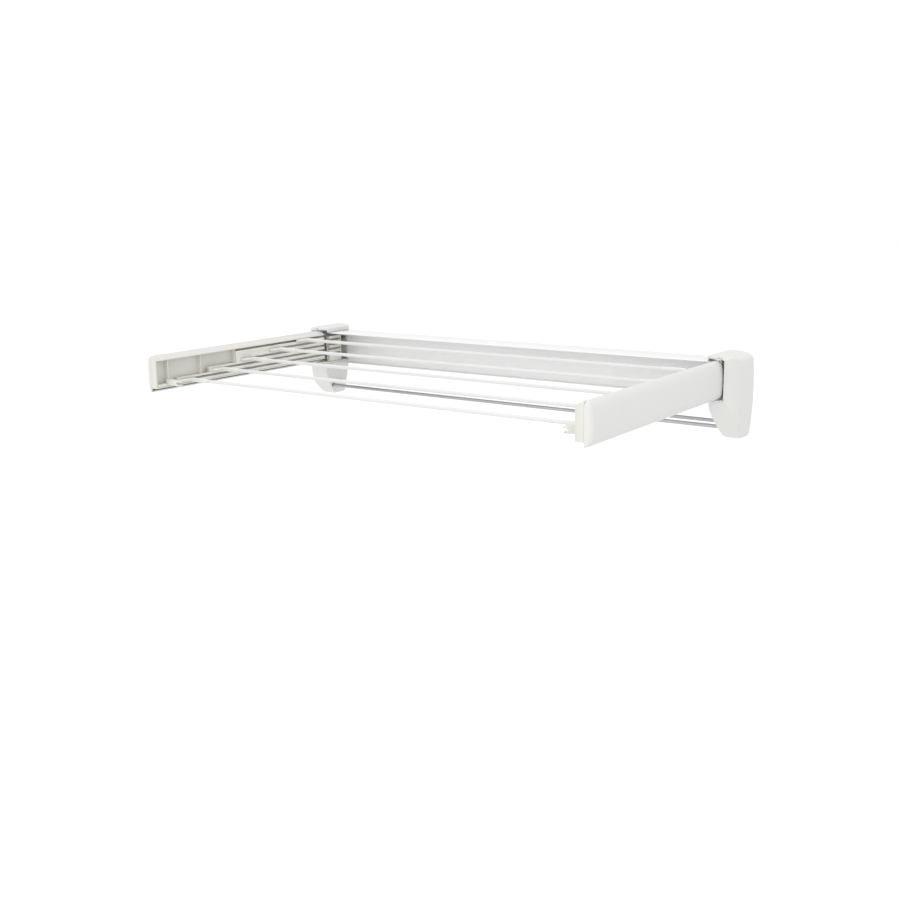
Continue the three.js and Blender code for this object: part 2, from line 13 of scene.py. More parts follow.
import bmesh
import bpy
from mathutils import Matrix, Vector


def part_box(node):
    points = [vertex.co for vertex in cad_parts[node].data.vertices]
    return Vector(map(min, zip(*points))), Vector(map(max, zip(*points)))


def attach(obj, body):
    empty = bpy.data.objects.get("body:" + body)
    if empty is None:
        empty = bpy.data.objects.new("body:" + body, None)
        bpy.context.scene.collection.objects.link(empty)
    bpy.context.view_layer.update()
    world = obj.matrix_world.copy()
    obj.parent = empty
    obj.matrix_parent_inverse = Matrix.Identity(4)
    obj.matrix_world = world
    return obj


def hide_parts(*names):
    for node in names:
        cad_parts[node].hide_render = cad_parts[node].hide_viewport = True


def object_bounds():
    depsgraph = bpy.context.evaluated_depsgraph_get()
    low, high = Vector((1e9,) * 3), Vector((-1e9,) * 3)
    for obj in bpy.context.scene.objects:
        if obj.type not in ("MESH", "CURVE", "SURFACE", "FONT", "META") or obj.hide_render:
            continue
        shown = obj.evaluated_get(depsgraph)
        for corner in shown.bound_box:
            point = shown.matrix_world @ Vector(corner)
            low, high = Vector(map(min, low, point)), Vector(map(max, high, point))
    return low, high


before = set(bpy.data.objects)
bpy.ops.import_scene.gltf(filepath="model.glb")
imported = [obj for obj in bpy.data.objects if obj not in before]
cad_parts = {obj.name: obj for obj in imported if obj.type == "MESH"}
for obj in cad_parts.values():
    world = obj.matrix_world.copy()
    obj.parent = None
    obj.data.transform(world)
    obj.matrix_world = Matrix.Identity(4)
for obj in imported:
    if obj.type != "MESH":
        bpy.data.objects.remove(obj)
cad_box = [list(corner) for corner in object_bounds()]

# %% [markdown]
# ## Camera
#
# The camera stands to the right of the rack, a little above it, and looks
# back along it towards the far bracket. It could be aimed with a Track To
# constraint, but a place, three angles and a lens say all of it openly. The
# last angle is a roll of less than a degree.

# %% The camera
TURN = math.radians(35.736)
LOOK_DOWN = math.radians(12.412)
ROLL = math.radians(-0.835)
STANDS_AT = Vector((1.331, -2.098, 0.3516))
LENS, SENSOR = 46.9, 36  # mm


def linked(name, data):
    """A new object for a mesh, lamp or camera, put in the scene."""
    made = bpy.data.objects.new(name, data)
    bpy.context.scene.collection.objects.link(made)
    return made


def camera_turn():
    """The camera's rotation, from how far it is turned, tipped and rolled."""
    level = Vector((math.cos(TURN), math.sin(TURN), 0))
    ahead = Vector((
        -math.sin(TURN) * math.cos(LOOK_DOWN),
        math.cos(TURN) * math.cos(LOOK_DOWN),
        -math.sin(LOOK_DOWN),
    ))
    above = level.cross(ahead)
    right = math.cos(ROLL) * level + math.sin(ROLL) * above
    up = math.cos(ROLL) * above - math.sin(ROLL) * level
    return Matrix((right, up, -ahead)).transposed()


lens = bpy.data.cameras.new("camera")
lens.lens = LENS
lens.sensor_width = SENSOR
camera = linked("camera", lens)
camera.matrix_world = Matrix.Translation(STANDS_AT) @ camera_turn().to_4x4()
bpy.context.scene.camera = camera
print("camera at", [round(v, 3) for v in STANDS_AT])

# %% [markdown]
# ## Nodes and colours
#
# Two small tools serve every material and every node tree below. The first
# turns the sRGB hex value that a colour chart gives into the linear numbers
# that the renderer works in. The second adds one node, with its settings and
# its links, so that a tree reads as a list of what it is made of.


# %% Helpers for nodes and colours
def linear(hex_value):
    """An sRGB hex value such as 0xF2F2F0 as linear red, green, blue, alpha."""
    channels = [(hex_value >> shift & 255) / 255 for shift in (16, 8, 0)]
    return [
        c / 12.92 if c <= 0.04045 else ((c + 0.055) / 1.055) ** 2.4
        for c in channels
    ] + [1.0]


def add(tree, kind, inputs=None, **settings):
    """Add a node; inputs maps socket names or numbers to values or sockets."""
    made = tree.nodes.new(kind)
    for key, value in settings.items():
        setattr(made, key, value)
    for key, value in (inputs or {}).items():
        socket = made.inputs[key]
        if isinstance(value, bpy.types.NodeSocket):
            tree.links.new(value, socket)
        else:
            socket.default_value = value
    return made


MM = 0.001


def per_mm(pitch):
    """A noise texture's scale for features that are this many mm apart."""
    return 1 / (pitch * MM)


# %% [markdown]
# ## Stage and light
#
# A white object on a white ground only reads if its own shading is soft but
# uneven. The surround and the pale floor give an even fill. A very soft sun
# overhead makes upward faces the palest, a broad low panel in front lights
# the wall rail's web and the brackets' bows, and a small one at the right
# shows the crown of the near arm. The floor is far below, because the rack
# hangs on a wall.

# %% Floor, surround and lamps
FLOOR_DROP = 1.1  # metres from the rack's lowest point down to the floor
FLOOR_REACH = 30  # metres from the middle to each edge
FLOOR_GLOW = 0.06
WHITE = 0xFFFFFF


def stage_floor():
    """A pale floor with a faint glow of its own, which meets the surround evenly."""
    mesh = bpy.data.meshes.new("floor")
    out = FLOOR_REACH
    corners = [(-out, -out), (out, -out), (out, out), (-out, out)]
    height = cad_box[0][2] - FLOOR_DROP
    mesh.from_pydata([(x, y, height) for x, y in corners], [], [(0, 1, 2, 3)])
    floor = linked("floor", mesh)
    matt = bpy.data.materials.new("floor_paint")
    matt.use_nodes = True
    shader = matt.node_tree.nodes["Principled BSDF"]
    shader.inputs["Base Color"].default_value = linear(0xE4E4E4)
    shader.inputs["Roughness"].default_value = 0.9
    shader.inputs["Emission Color"].default_value = linear(WHITE)
    shader.inputs["Emission Strength"].default_value = FLOOR_GLOW
    mesh.materials.append(matt)


def lamp(name, place, target, size, power):
    """A white panel of light turned to its target, in metres and watts."""
    data = bpy.data.lights.new(name, "AREA")
    data.shape = "RECTANGLE"
    data.size, data.size_y = size
    data.energy = power
    aim = (Vector(target) - Vector(place)).to_track_quat("-Z", "Y")
    linked(name, data).matrix_world = Matrix.Translation(place) @ aim.to_matrix().to_4x4()


def sun(name, towards, soft, power):
    """A sun in one direction, soft degrees wide."""
    data = bpy.data.lights.new(name, "SUN")
    data.energy = power
    data.angle = math.radians(soft)
    aim = Vector(towards).to_track_quat("Z", "Y")
    linked(name, data).matrix_world = aim.to_matrix().to_4x4()


stage_floor()
world = bpy.data.worlds.new("studio")
world.use_nodes = True
surround = world.node_tree.nodes["Background"]
surround.inputs["Color"].default_value = linear(WHITE)
surround.inputs["Strength"].default_value = 1.0
bpy.context.scene.world = world
bpy.context.scene.view_settings.view_transform = "Standard"
sun("overhead_sun", (0.2, -0.25, 0.94), 50, 1.1)
lamp("front_panel", (-0.4, -3.2, 0.1), (0, 0, 0), (3.6, 1.2), 19)
lamp("side_panel", (1.7, -1.5, 0.7), (0.5, -0.4, 0), (0.7, 0.7), 4)
print("stage and lamps made")

# %% [markdown]
# ## Finishes
#
# Eight finishes make the rack, and six of them are close to white. Each could
# be one flat colour, but then the pieces would run into each other. So one
# function gives them all a grain, a gloss that follows the grain, and a slow
# change of tone, and every finish sets its own numbers. Plastics and coats
# have the refraction of their resin, and the bare metals keep the default.

# %% Finish: moulded, coated and metal surfaces
CLOUD = 70  # mm, across the slow change of tone
NOISE_LOW, NOISE_HIGH = 0.3, 0.7  # where most of a noise texture's values lie
BUMP_STRENGTH = 0.6


def surface(name, colour, roughness, grain, depth, stretch=(1, 1, 1), **shader_values):
    """A finish between two colours, with its grain and bump depth in mm."""
    material = bpy.data.materials.new(name)
    material.use_nodes = True
    tree = material.node_tree
    shader = tree.nodes["Principled BSDF"]
    place = add(tree, "ShaderNodeTexCoord").outputs["Object"]
    drawn_out = add(tree, "ShaderNodeMapping", {"Vector": place, "Scale": stretch})
    fine = add(tree, "ShaderNodeTexNoise", {
        "Vector": drawn_out.outputs[0], "Scale": per_mm(grain), "Detail": 3.0,
    })
    broad = add(tree, "ShaderNodeTexNoise", {
        "Vector": place, "Scale": per_mm(CLOUD), "Detail": 2.0,
    })
    pale, deep = colour
    tint = add(tree, "ShaderNodeMix", {
        0: broad.outputs[0], 6: linear(pale), 7: linear(deep),
    }, data_type="RGBA")
    low, high = roughness
    gloss = add(tree, "ShaderNodeMapRange", {
        0: fine.outputs[0], 1: NOISE_LOW, 2: NOISE_HIGH, 3: low, 4: high,
    })
    bump = add(tree, "ShaderNodeBump", {
        "Strength": BUMP_STRENGTH, "Distance": depth * MM, "Height": fine.outputs[0],
    })
    tree.links.new(tint.outputs[2], shader.inputs["Base Color"])
    tree.links.new(gloss.outputs[0], shader.inputs["Roughness"])
    tree.links.new(bump.outputs[0], shader.inputs["Normal"])
    for socket, value in shader_values.items():
        shader.inputs[socket.replace("_", " ")].default_value = value
    return material


# A mould's real grain is about 0.2 mm across, too fine to show from here, so
# the plastics have one that is several times as coarse.
ALONG_X = (0.02, 1, 1)  # draws a grain out into lines along the rack
finishes = {
    # ABS from a fine mould: a satin skin with one broad, soft highlight.
    "shell": surface(
        "moulded_abs_satin", (0xCBCBC9, 0xC8C8C5), (0.34, 0.42), 0.9, 0.02, IOR=1.53,
    ),
    # ABS from a spark-eroded mould: duller, warmer, with a grain to be seen.
    "body": surface(
        "moulded_abs_textured", (0xCAC9C3, 0xC6C4BE), (0.46, 0.56), 0.7, 0.05, IOR=1.53,
    ),
    # Acetal, which slides without grease: waxy and a little creamy.
    "acetal": surface(
        "moulded_acetal", (0xCFCEC8, 0xCAC9C2), (0.36, 0.44), 1.4, 0.02, IOR=1.48,
    ),
    # Polypropylene: the palest of the plastics, with a soft sheen.
    "glider": surface(
        "moulded_polypropylene", (0xD0D0CE, 0xCDCDCA), (0.38, 0.46), 1.2, 0.02, IOR=1.49,
    ),
    # Powder coat on steel tube: glossy, flowed out into a faint orange peel.
    "rod": surface(
        "powder_coated_steel", (0xCECECD, 0xCBCBCA), (0.22, 0.32), 1.3, 0.04, IOR=1.5,
    ),
    # Powder coat on an extrusion: the whitest, with faint lines from the die.
    "rail": surface(
        "powder_coated_aluminium", (0xDADBDA, 0xD7D8D7), (0.3, 0.38), 1.1, 0.03,
        stretch=ALONG_X, IOR=1.5,
    ),
    # Anodised tube: bright bare metal, with fine lines along it.
    "anodised": surface(
        "anodised_aluminium", (0xAAABAC, 0xA2A3A4), (0.24, 0.38), 0.25, 0.006,
        stretch=ALONG_X, Metallic=1.0,
    ),
    # Zinc plate: a cool, slightly clouded metal on the screws and pins.
    "zinc": surface(
        "zinc_plated_steel", (0xB9BCBE, 0xA6A9AC), (0.28, 0.45), 0.8, 0.01, Metallic=1.0,
    ),
}
print("finishes:", ", ".join(finishes))

# %% [markdown]
# ## Easing the frame's own shapes
#
# The arm bodies, bases, guides, combs, clips, pins and the wall rail are the
# right shape as the frame has them, so they could just take a finish. But no
# mould or die leaves a knife edge. A copy of the frame's mesh, with its
# doubled corners merged and its flat faces joined up, takes a narrow bevel
# along every real edge. That edge is what catches the light.


# %% Copies with eased edges
def paint(piece, finish):
    """Leave a piece with one finish and no other."""
    piece.data.materials.clear()
    piece.data.materials.append(finishes[finish])


def painted(name, mesh, finish):
    """A new piece for a mesh, in one of the finishes."""
    piece = linked(name, mesh)
    paint(piece, finish)
    return piece


def shade_smooth(piece):
    for polygon in piece.data.polygons:
        polygon.use_smooth = True


def settle(piece):
    """Turn a piece's modifiers into plain mesh."""
    bpy.context.view_layer.update()
    graph = bpy.context.evaluated_depsgraph_get()
    seen = piece.evaluated_get(graph)
    mesh = bpy.data.meshes.new_from_object(seen, preserve_all_data_layers=True, depsgraph=graph)
    piece.modifiers.clear()
    piece.data = mesh
    return piece


def ease(piece, width, segments=2, corner=28):
    """Round every edge sharper than corner degrees, width mm wide."""
    shade_smooth(piece)
    bevel = piece.modifiers.new("eased_edges", "BEVEL")
    bevel.width = width * MM
    bevel.segments = segments
    bevel.limit_method = "ANGLE"
    bevel.angle_limit = math.radians(corner)
    bevel.harden_normals = True
    bevel.miter_outer = "MITER_ARC"
    return settle(piece)


def mesh_of(form, name):
    """The mesh of a bmesh, which is freed."""
    mesh = bpy.data.meshes.new(name)
    form.to_mesh(mesh)
    form.free()
    return mesh


SAME_PLACE = 2e-6  # metres between corners that are one
SAME_PLANE = math.radians(0.4)


def merged(mesh_data):
    """A bmesh of a frame mesh, its doubles merged and flat faces joined."""
    form = bmesh.new()
    form.from_mesh(mesh_data)
    bmesh.ops.remove_doubles(form, verts=form.verts, dist=SAME_PLACE)
    bmesh.ops.dissolve_limit(
        form, angle_limit=SAME_PLANE, verts=form.verts, edges=form.edges,
    )
    return form


def eased_copy(node, edge, finish):
    """A copy of a frame node with edges this many mm wide, in its place."""
    mesh = mesh_of(merged(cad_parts[node].data), node)
    piece = ease(painted(f"{node}_moulding", mesh, finish), edge)
    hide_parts(node)
    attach(piece, "root")


SIDES = {"left": -1, "right": 1}
EASED = {  # the edge's width in mm, the finish and the slot
    "arm_body": (0.5, "body", "body_plastic"),
    "bracket_base": (0.4, "body", "body_plastic"),
    "guide_insert": (0.3, "acetal", "guide_plastic"),
    "parking_comb": (0.3, "acetal", "guide_plastic"),
    "closing_clip": (0.4, "acetal", "guide_plastic"),
    "hinge_pin_upper": (0.2, "zinc", "zinc_steel"),
    "hinge_pin_lower": (0.2, "zinc", "zinc_steel"),
}
for side in SIDES:
    for part, (edge, finish, slot) in EASED.items():
        eased_copy(f"{side}_{part}", edge, finish)
eased_copy("wall_rail", 0.35, "rail")
print("eased copies:", len(SIDES) * len(EASED) + 1)

# %% [markdown]
# ## Outlines, prisms and booleans
#
# The covers, brackets and rod ends have shapes that no single tool makes. They
# could be pushed into shape by hand, corner by corner, but a moulding is drawn
# as a few outlines and cuts, and that is quicker to read and to change. Sizes
# are in mm, and heights are given from one datum, as on a drawing.

# %% Outlines that mix corners and curves
DATUM = -0.09445  # the level that heights are given from, in the frame, in metres


def outline(*steps, fine=14):
    """Outline points in mm: (u, v) is a corner, (cu, cv, u, v) a curve."""
    points = [Vector(steps[0])]
    for step in steps[1:]:
        if len(step) == 2:
            points.append(Vector(step))
            continue
        start, pull, end = points[-1], Vector(step[:2]), Vector(step[2:])
        for i in range(1, fine + 1):
            t = i / fine
            points.append((1 - t) ** 2 * start + 2 * t * (1 - t) * pull + t * t * end)
    return points


def circle(u, v, radius, count=32):
    turns = [2 * math.pi * i / count for i in range(count)]
    return [Vector((u + radius * math.cos(a), v + radius * math.sin(a))) for a in turns]


def in_frame(x, y, z):
    """Millimetres, with heights from the datum, in the frame's metres."""
    return Vector((x * MM, y * MM, z * MM + DATUM))


def centre_line(node):
    """The y and z of a tube's middle, in mm, with the height from the datum."""
    low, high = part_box(node)
    y, z = [(low[i] + high[i]) / 2 / MM for i in (1, 2)]
    return y, z - DATUM / MM


# %% Prisms and booleans
PLANES = {
    "front": (lambda u, v, w: (u, w, v)),  # outline in x, z; runs along y
    "side": (lambda u, v, w: (w, u, v)),  # outline in y, z; runs along x
    "plan": (lambda u, v, w: (u, v, w)),  # outline in x, y; runs along z
}


def prism(plane, points, start, end, sign=1):
    """A closed prism of an outline, in mm, mirrored to the left if sign < 0."""
    form = bmesh.new()
    put = PLANES[plane]
    rings = []
    for w in (start, end):
        ring = []
        for u, v in points:
            x, y, z = put(u, v, w)
            ring.append(form.verts.new(in_frame(sign * x, y, z)))
        rings.append(ring)
    near, far = rings
    count = len(points)
    for i in range(count):
        j = (i + 1) % count
        form.faces.new((near[i], near[j], far[j], far[i]))
    form.faces.new(near)
    form.faces.new(far)
    bmesh.ops.remove_doubles(form, verts=form.verts, dist=1e-7)
    bmesh.ops.recalc_face_normals(form, faces=form.faces)
    return linked("prism", mesh_of(form, "prism"))


def brick(x, y, z, sign=1):
    """A box between pairs of mm limits."""
    corners = [(x[0], y[0]), (x[1], y[0]), (x[1], y[1]), (x[0], y[1])]
    return prism("plan", [Vector(c) for c in corners], *z, sign=sign)


def pillar(centre, radius, z, sign=1):
    """An upright cylinder at (x, y), between a pair of heights."""
    return prism("plan", circle(*centre, radius), *z, sign=sign)


def combine(base, operation, *tools):
    """Join, cut or intersect base with each tool in turn."""
    for tool in tools:
        step = base.modifiers.new(operation, "BOOLEAN")
        step.operation = operation
        step.solver = "EXACT"
        step.object = tool
        settle(base)
        bpy.data.objects.remove(tool)
    return base


# %% [markdown]
# ## Arm covers
#
# Each arm wears a long crowned shell. Its section hardly changes along the
# arm, so it is a loft: one outline in a plane across the arm, repeated along
# it, and drawn in round both ends. The loft is only the outer skin. A
# Solidify modifier gives it the wall of a real moulding, and a boolean drills
# the hole for the hinge pins.

# %% The crowned arm covers
HINGE = (491, -89)  # the arm's upright axis, in x and y
PIN_HOLE = 2.8  # radius
THROUGH = (60, 145)  # heights that a drill passes, right through an arm
COVER = {
    "inner": 486.3, "outer": 500, "bottom": 66.8, "top": 138.6,
    "front": -579.5, "rear": -83, "wall": 2.4, "nose": 10, "chamfer": 7, "tail": 2.5,
}
NOSE_KEEPS, TAIL_KEEPS = 0.3, 0.82  # the part of its depth left at each end
NOSE_STEPS, TAIL_STEPS = 12, 6
STRIDE, STRIDES = 12, 39  # mm between sections on the straight, and how many


def cover_section():
    """From the lower inner corner, out round the crown, to the upper one."""
    inner, outer = COVER["inner"], COVER["outer"]
    low, high = COVER["bottom"], COVER["top"]
    return outline(
        (inner, low),
        (inner + 4, low),
        (outer - 1.5, low + 2.5, outer - 0.8, 79),
        (outer + 0.6, 102, outer - 1.6, 121),
        (outer - 3, 134, outer - 9, high - 0.4),
        (inner, high),
    )


def cover_stations():
    """Places along the arm, close together round both ends."""
    front, rear, nose, tail = (COVER[key] for key in ("front", "rear", "nose", "tail"))
    turns = [i / NOSE_STEPS * math.pi / 2 for i in range(NOSE_STEPS + 1)]
    gaps = [1 - i / TAIL_STEPS for i in range(TAIL_STEPS + 1)]
    return (
        [front + nose * (1 - math.cos(turn)) for turn in turns]
        + [front + nose + STRIDE * i for i in range(1, STRIDES + 1)]
        + [rear - tail * gap ** 2 for gap in gaps]
    )


def depth_left(gap, length, keeps):
    """The part of its depth that the section has, a gap away from an end."""
    if gap >= length:
        return 1.0
    return keeps + (1 - keeps) * math.sqrt(max(0, 1 - (1 - gap / length) ** 2))


def cover_ring(section, y):
    """One section, drawn in near the ends and cut down at its top front corner."""
    from_front, from_rear = y - COVER["front"], COVER["rear"] - y
    draw = min(
        depth_left(from_front, COVER["nose"], NOSE_KEEPS),
        depth_left(from_rear, COVER["tail"], TAIL_KEEPS),
    )
    top = COVER["top"] - max(0, COVER["chamfer"] - from_front)
    return [
        (COVER["inner"] + (x - COVER["inner"]) * draw, y, min(z, top))
        for x, z in section
    ]


def cover_skin(name, sign):
    """The outer skin, open at its rear end and along the arm's inner side."""
    form = bmesh.new()
    section = cover_section()
    rings = []
    for y in cover_stations():
        rings.append([
            form.verts.new(in_frame(sign * x, y, z))
            for x, y, z in cover_ring(section, y)
        ])
    for near, far in zip(rings, rings[1:]):
        for i in range(len(section) - 1):
            form.faces.new((near[i], near[i + 1], far[i + 1], far[i]))
    form.faces.new(rings[0])
    bmesh.ops.remove_doubles(form, verts=form.verts, dist=1e-6)
    bmesh.ops.recalc_face_normals(form, faces=form.faces)
    outward = sum((f.normal.x * f.calc_area() for f in form.faces)) * sign
    if outward < 0:
        bmesh.ops.reverse_faces(form, faces=form.faces)
    return mesh_of(form, name)


def arm_cover(side, sign):
    name = f"{side}_arm_cover_skin"
    piece = painted(name, cover_skin(name, sign), "shell")
    wall = piece.modifiers.new("wall", "SOLIDIFY")
    wall.thickness = COVER["wall"] * MM
    wall.offset = -1
    wall.use_even_offset = True
    settle(piece)
    combine(piece, "DIFFERENCE", pillar(HINGE, PIN_HOLE, THROUGH, sign))
    ease(piece, 0.45, segments=3, corner=32)
    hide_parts(f"{side}_arm_cover")
    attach(piece, "root")


for side, sign in SIDES.items():
    arm_cover(side, sign)
print("arm covers:", COVER["rear"] - COVER["front"], "mm long")

# %% [markdown]
# ## Bracket shells
#
# The end bracket is the most sculpted piece. It could be a subdivision cage,
# but three outlines say it better: its face from the front, its depth from
# the side, and its rounding from above, a bow that is deepest beside the arm.
# Where the three prisms overlap is the bulk. The arm's pocket is cut out, a
# smaller copy hollows it, and a remesh and a few smoothing passes melt every
# edge into the soft radius of a moulding. The left shell is the right one's
# finished mesh, mirrored.

# %% The bracket's three outlines
CAP_INNER, OUTER, SHELL_TOP, DEPTH = 464.5, 526.4, 148, 89
UNDER = -16  # a height just below the shell's lowest curve
POCKET = {"wall": 501.8, "bottom": 62.2, "top": 139.2}
SHELL_WALL, HOOD_CLEAR = 2.4, 133.9


def bracket_front(inset):
    outer, top, inner = OUTER - inset, SHELL_TOP - inset, CAP_INNER + inset
    return outline(
        (inner, HOOD_CLEAR),
        (inner, top - 5.4),
        (inner + 3, top - 1.4, inner + 13.5, top - 0.4),
        (495, top + 0.6, 508, top - 2),
        (518, top - 4.5, outer - 4.9, top - 8),
        (outer - 2.2, top - 10, outer - 2.2, SHELL_TOP - 15),
        (outer + 2, 80, outer - 2.4, 20),
        (outer - 4.5, 0, outer - 6.7, -10.5),
        (outer - 7.4, -13.4 + inset, outer - 10, -13.8 + inset),
        (503, -15.4 + inset, 488 + inset, -13.9 + inset),
        (485.4 + inset, -13.5 + inset, 484.4 + inset, -11),
        (474 + inset, 24, 469 + inset, POCKET["bottom"]),
        (inner, POCKET["bottom"] + 4),
    )


def bracket_side(inset):
    front, back, top = -DEPTH + inset, 1 if inset else 0, SHELL_TOP - inset
    return outline(
        (back, UNDER),
        (-28 + inset, UNDER),
        (-39 + inset, -13, -50 + inset, 0),
        (front + 9, 36, front + 1, 66),
        (front, 72, front, 80),
        (front, top - 12),
        (front + 0.6, top - 5.6, front + 6, top - 4.4),
        (front + 20, top - 1, front + 34, top - 0.8),
        (back, top + 1),
    )


def bracket_plan(inset):
    outer, front, back = OUTER - inset, -DEPTH + inset, 1 if inset else 0
    return outline(
        (CAP_INNER - 1, back),
        (outer, back),
        (outer, -40),
        (outer - 0.6, front + 23, outer - 12, front + 9),
        (outer - 18, front + 1.4, 499, front),
        (484, front + 1, CAP_INNER - 1, front + 14),
    )


def bracket_bulk(inset):
    """The overlap, drawn in by the inset, without the pocket and its mouth."""
    # Each prism runs a little past the other two, so that no faces coincide.
    bulk = prism("front", bracket_front(inset), -DEPTH - 1, 1.5)
    combine(
        bulk, "INTERSECT",
        prism("side", bracket_side(inset), CAP_INNER - 1, OUTER + 2),
        prism("plan", bracket_plan(inset), UNDER - 1, SHELL_TOP + 3),
    )
    depth, skirt = (-DEPTH - 5, 5), CAP_INNER + SHELL_WALL
    return combine(
        bulk, "DIFFERENCE",
        brick((skirt, POCKET["wall"] + inset), depth, (POCKET["bottom"], POCKET["top"])),
        brick((CAP_INNER - 5, skirt + 1), depth, (POCKET["bottom"], HOOD_CLEAR)),
    )


# %% The bracket shells
VOXEL = 0.9  # mm
MELT = 7  # smoothing passes, which round an edge to about 1.5 mm
EAR = {"radius": 5.8, "rear": -65, "z": (139.2, 142.8)}  # the upper ear and its slack
BASE = {"x": (468, 508), "plate": -3.3, "shelf": -52.3, "shelf_thick": 3.6}
BEHIND = 2  # how far the base's cuts run out of the back
TOWEL_HOLE = {"radius": 4, "x": (460, 494)}


def towel_rail_holes():
    holes = []
    for where in ("rear", "front"):
        ring = circle(*centre_line(f"towel_rail_{where}"), TOWEL_HOLE["radius"])
        holes.append(prism("side", ring, *TOWEL_HOLE["x"]))
    return holes


def base_seat():
    """Room for the base's plate against the wall and its shelf below the arm."""
    floor = POCKET["bottom"]
    return [
        brick(BASE["x"], (BASE["plate"], BEHIND), (floor, POCKET["top"])),
        brick(BASE["x"], (BASE["shelf"], BEHIND), (floor, floor + BASE["shelf_thick"])),
    ]


def ear_slot():
    """Room above the pocket for the base's tongue and the hinge ear at its tip."""
    across = (HINGE[0] - EAR["radius"], HINGE[0] + EAR["radius"])
    return [
        brick(across, (HINGE[1], EAR["rear"]), EAR["z"]),
        pillar(HINGE, EAR["radius"], EAR["z"]),
    ]


def bracket_shell():
    """The right-hand shell, hollowed, cut for its neighbours and melted."""
    shell = combine(bracket_bulk(0), "DIFFERENCE", bracket_bulk(SHELL_WALL))
    combine(shell, "DIFFERENCE", *base_seat(), *ear_slot(), *towel_rail_holes())
    remesh = shell.modifiers.new("remesh", "REMESH")
    remesh.mode = "VOXEL"
    remesh.voxel_size = VOXEL * MM
    melt = shell.modifiers.new("melt", "SMOOTH")
    melt.factor = 0.5
    melt.iterations = MELT
    return settle(shell)


def mirrored(piece):
    """A copy on the other side of the rack, its faces turned out again."""
    mesh = piece.data.copy()
    mesh.transform(Matrix.Scale(-1, 4, (1, 0, 0)))
    mesh.flip_normals()
    return linked("mirrored", mesh)


right_shell = bracket_shell()
for side, shell in (("right", right_shell), ("left", mirrored(right_shell))):
    shell.name = f"{side}_bracket_shell_moulding"
    paint(shell, "shell")
    shade_smooth(shell)
    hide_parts(f"{side}_bracket_shell")
    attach(shell, "root")
    print(shell.name, len(shell.data.polygons), "faces")

# %% [markdown]
# ## Tubes
#
# The five rods and the two towel rails are one rule with different numbers:
# a circle swept along a straight line. Each could be a cylinder, but Geometry
# Nodes hold the rule once, and each tube only sets its radius and its ends.
# Every tree ends the same way, with real mesh in one finish.


# %% Helpers for node trees that make a piece
def new_tree(name, inputs):
    """A tree with named inputs, the inputs' identifiers and their sockets."""
    tree = bpy.data.node_groups.new(name, "GeometryNodeTree")
    identifiers = {}
    for label, kind in inputs.items():
        made = tree.interface.new_socket(label, in_out="INPUT", socket_type=f"NodeSocket{kind}")
        identifiers[label] = made.identifier
    tree.interface.new_socket("Mesh", in_out="OUTPUT", socket_type="NodeSocketGeometry")
    return tree, identifiers, add(tree, "NodeGroupInput").outputs


def end_tree(tree, shape, finish):
    """Realize Instances, Set Material and the way out."""
    real = add(tree, "GeometryNodeRealizeInstances", {0: shape})
    coated = add(tree, "GeometryNodeSetMaterial", {
        "Geometry": real.outputs[0], "Material": finish,
    })
    add(tree, "NodeGroupOutput", {0: coated.outputs[0]})


def grow(piece, tree, identifiers, values):
    """Fill a piece with what a tree makes of these values, as plain mesh."""
    nodes = piece.modifiers.new(tree.name, "NODES")
    nodes.node_group = tree
    for label, value in values.items():
        nodes[identifiers[label]] = value
    settle(piece)


# %% A node tree for a straight tube
def tube_tree():
    tree, identifiers, given = new_tree("straight_tube", {
        "Radius": "Float", "From": "Vector", "To": "Vector", "Finish": "Material",
    })
    line = add(tree, "GeometryNodeCurvePrimitiveLine", {
        "Start": given["From"], "End": given["To"],
    })
    ring = add(tree, "GeometryNodeCurvePrimitiveCircle", {
        "Resolution": 40, "Radius": given["Radius"],
    })
    swept = add(tree, "GeometryNodeCurveToMesh", {
        "Curve": line.outputs[0], "Profile Curve": ring.outputs[0], "Fill Caps": True,
    })
    smooth = add(tree, "GeometryNodeSetShadeSmooth", {0: swept.outputs[0]})
    end_tree(tree, smooth.outputs[0], given["Finish"])
    return tree, identifiers


TUBE, TUBE_INPUTS = tube_tree()


def tube(name, node, finish, body):
    """A tube through the middle of a frame node, at its radius and length."""
    low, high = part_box(node)
    y, z = [(low[i] + high[i]) / 2 for i in (1, 2)]
    piece = painted(name, bpy.data.meshes.new(name), finish)
    grow(piece, TUBE, TUBE_INPUTS, {
        "Radius": (high[2] - low[2]) / 2, "From": (low[0], y, z), "To": (high[0], y, z),
        "Finish": finishes[finish],
    })
    ease(piece, 0.3, segments=3, corner=60)
    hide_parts(node)
    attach(piece, body)


# %% Rods and towel rails
RODS = range(1, 6)
for number in RODS:
    tube(f"rod_{number}_tube", f"drying_rod_{number}", "rod", f"rod_{number}")
for where in ("rear", "front"):
    tube(f"towel_rail_{where}_tube", f"towel_rail_{where}", "anodised", "root")
print("tubes:", len(RODS) + 2)

# %% [markdown]
# ## Rod ends
#
# Each rod end is one moulding: a slim tapered sleeve over the tube, a flat
# web that spreads to the arm, and a blade with a keeper that runs inside the
# groove. It could be one sculpted mesh, but each part has a simple shape of
# its own. The sleeve is a turned profile, the web a prism with eased edges,
# and a union makes them one body. Two dimples in the blade are cut last.


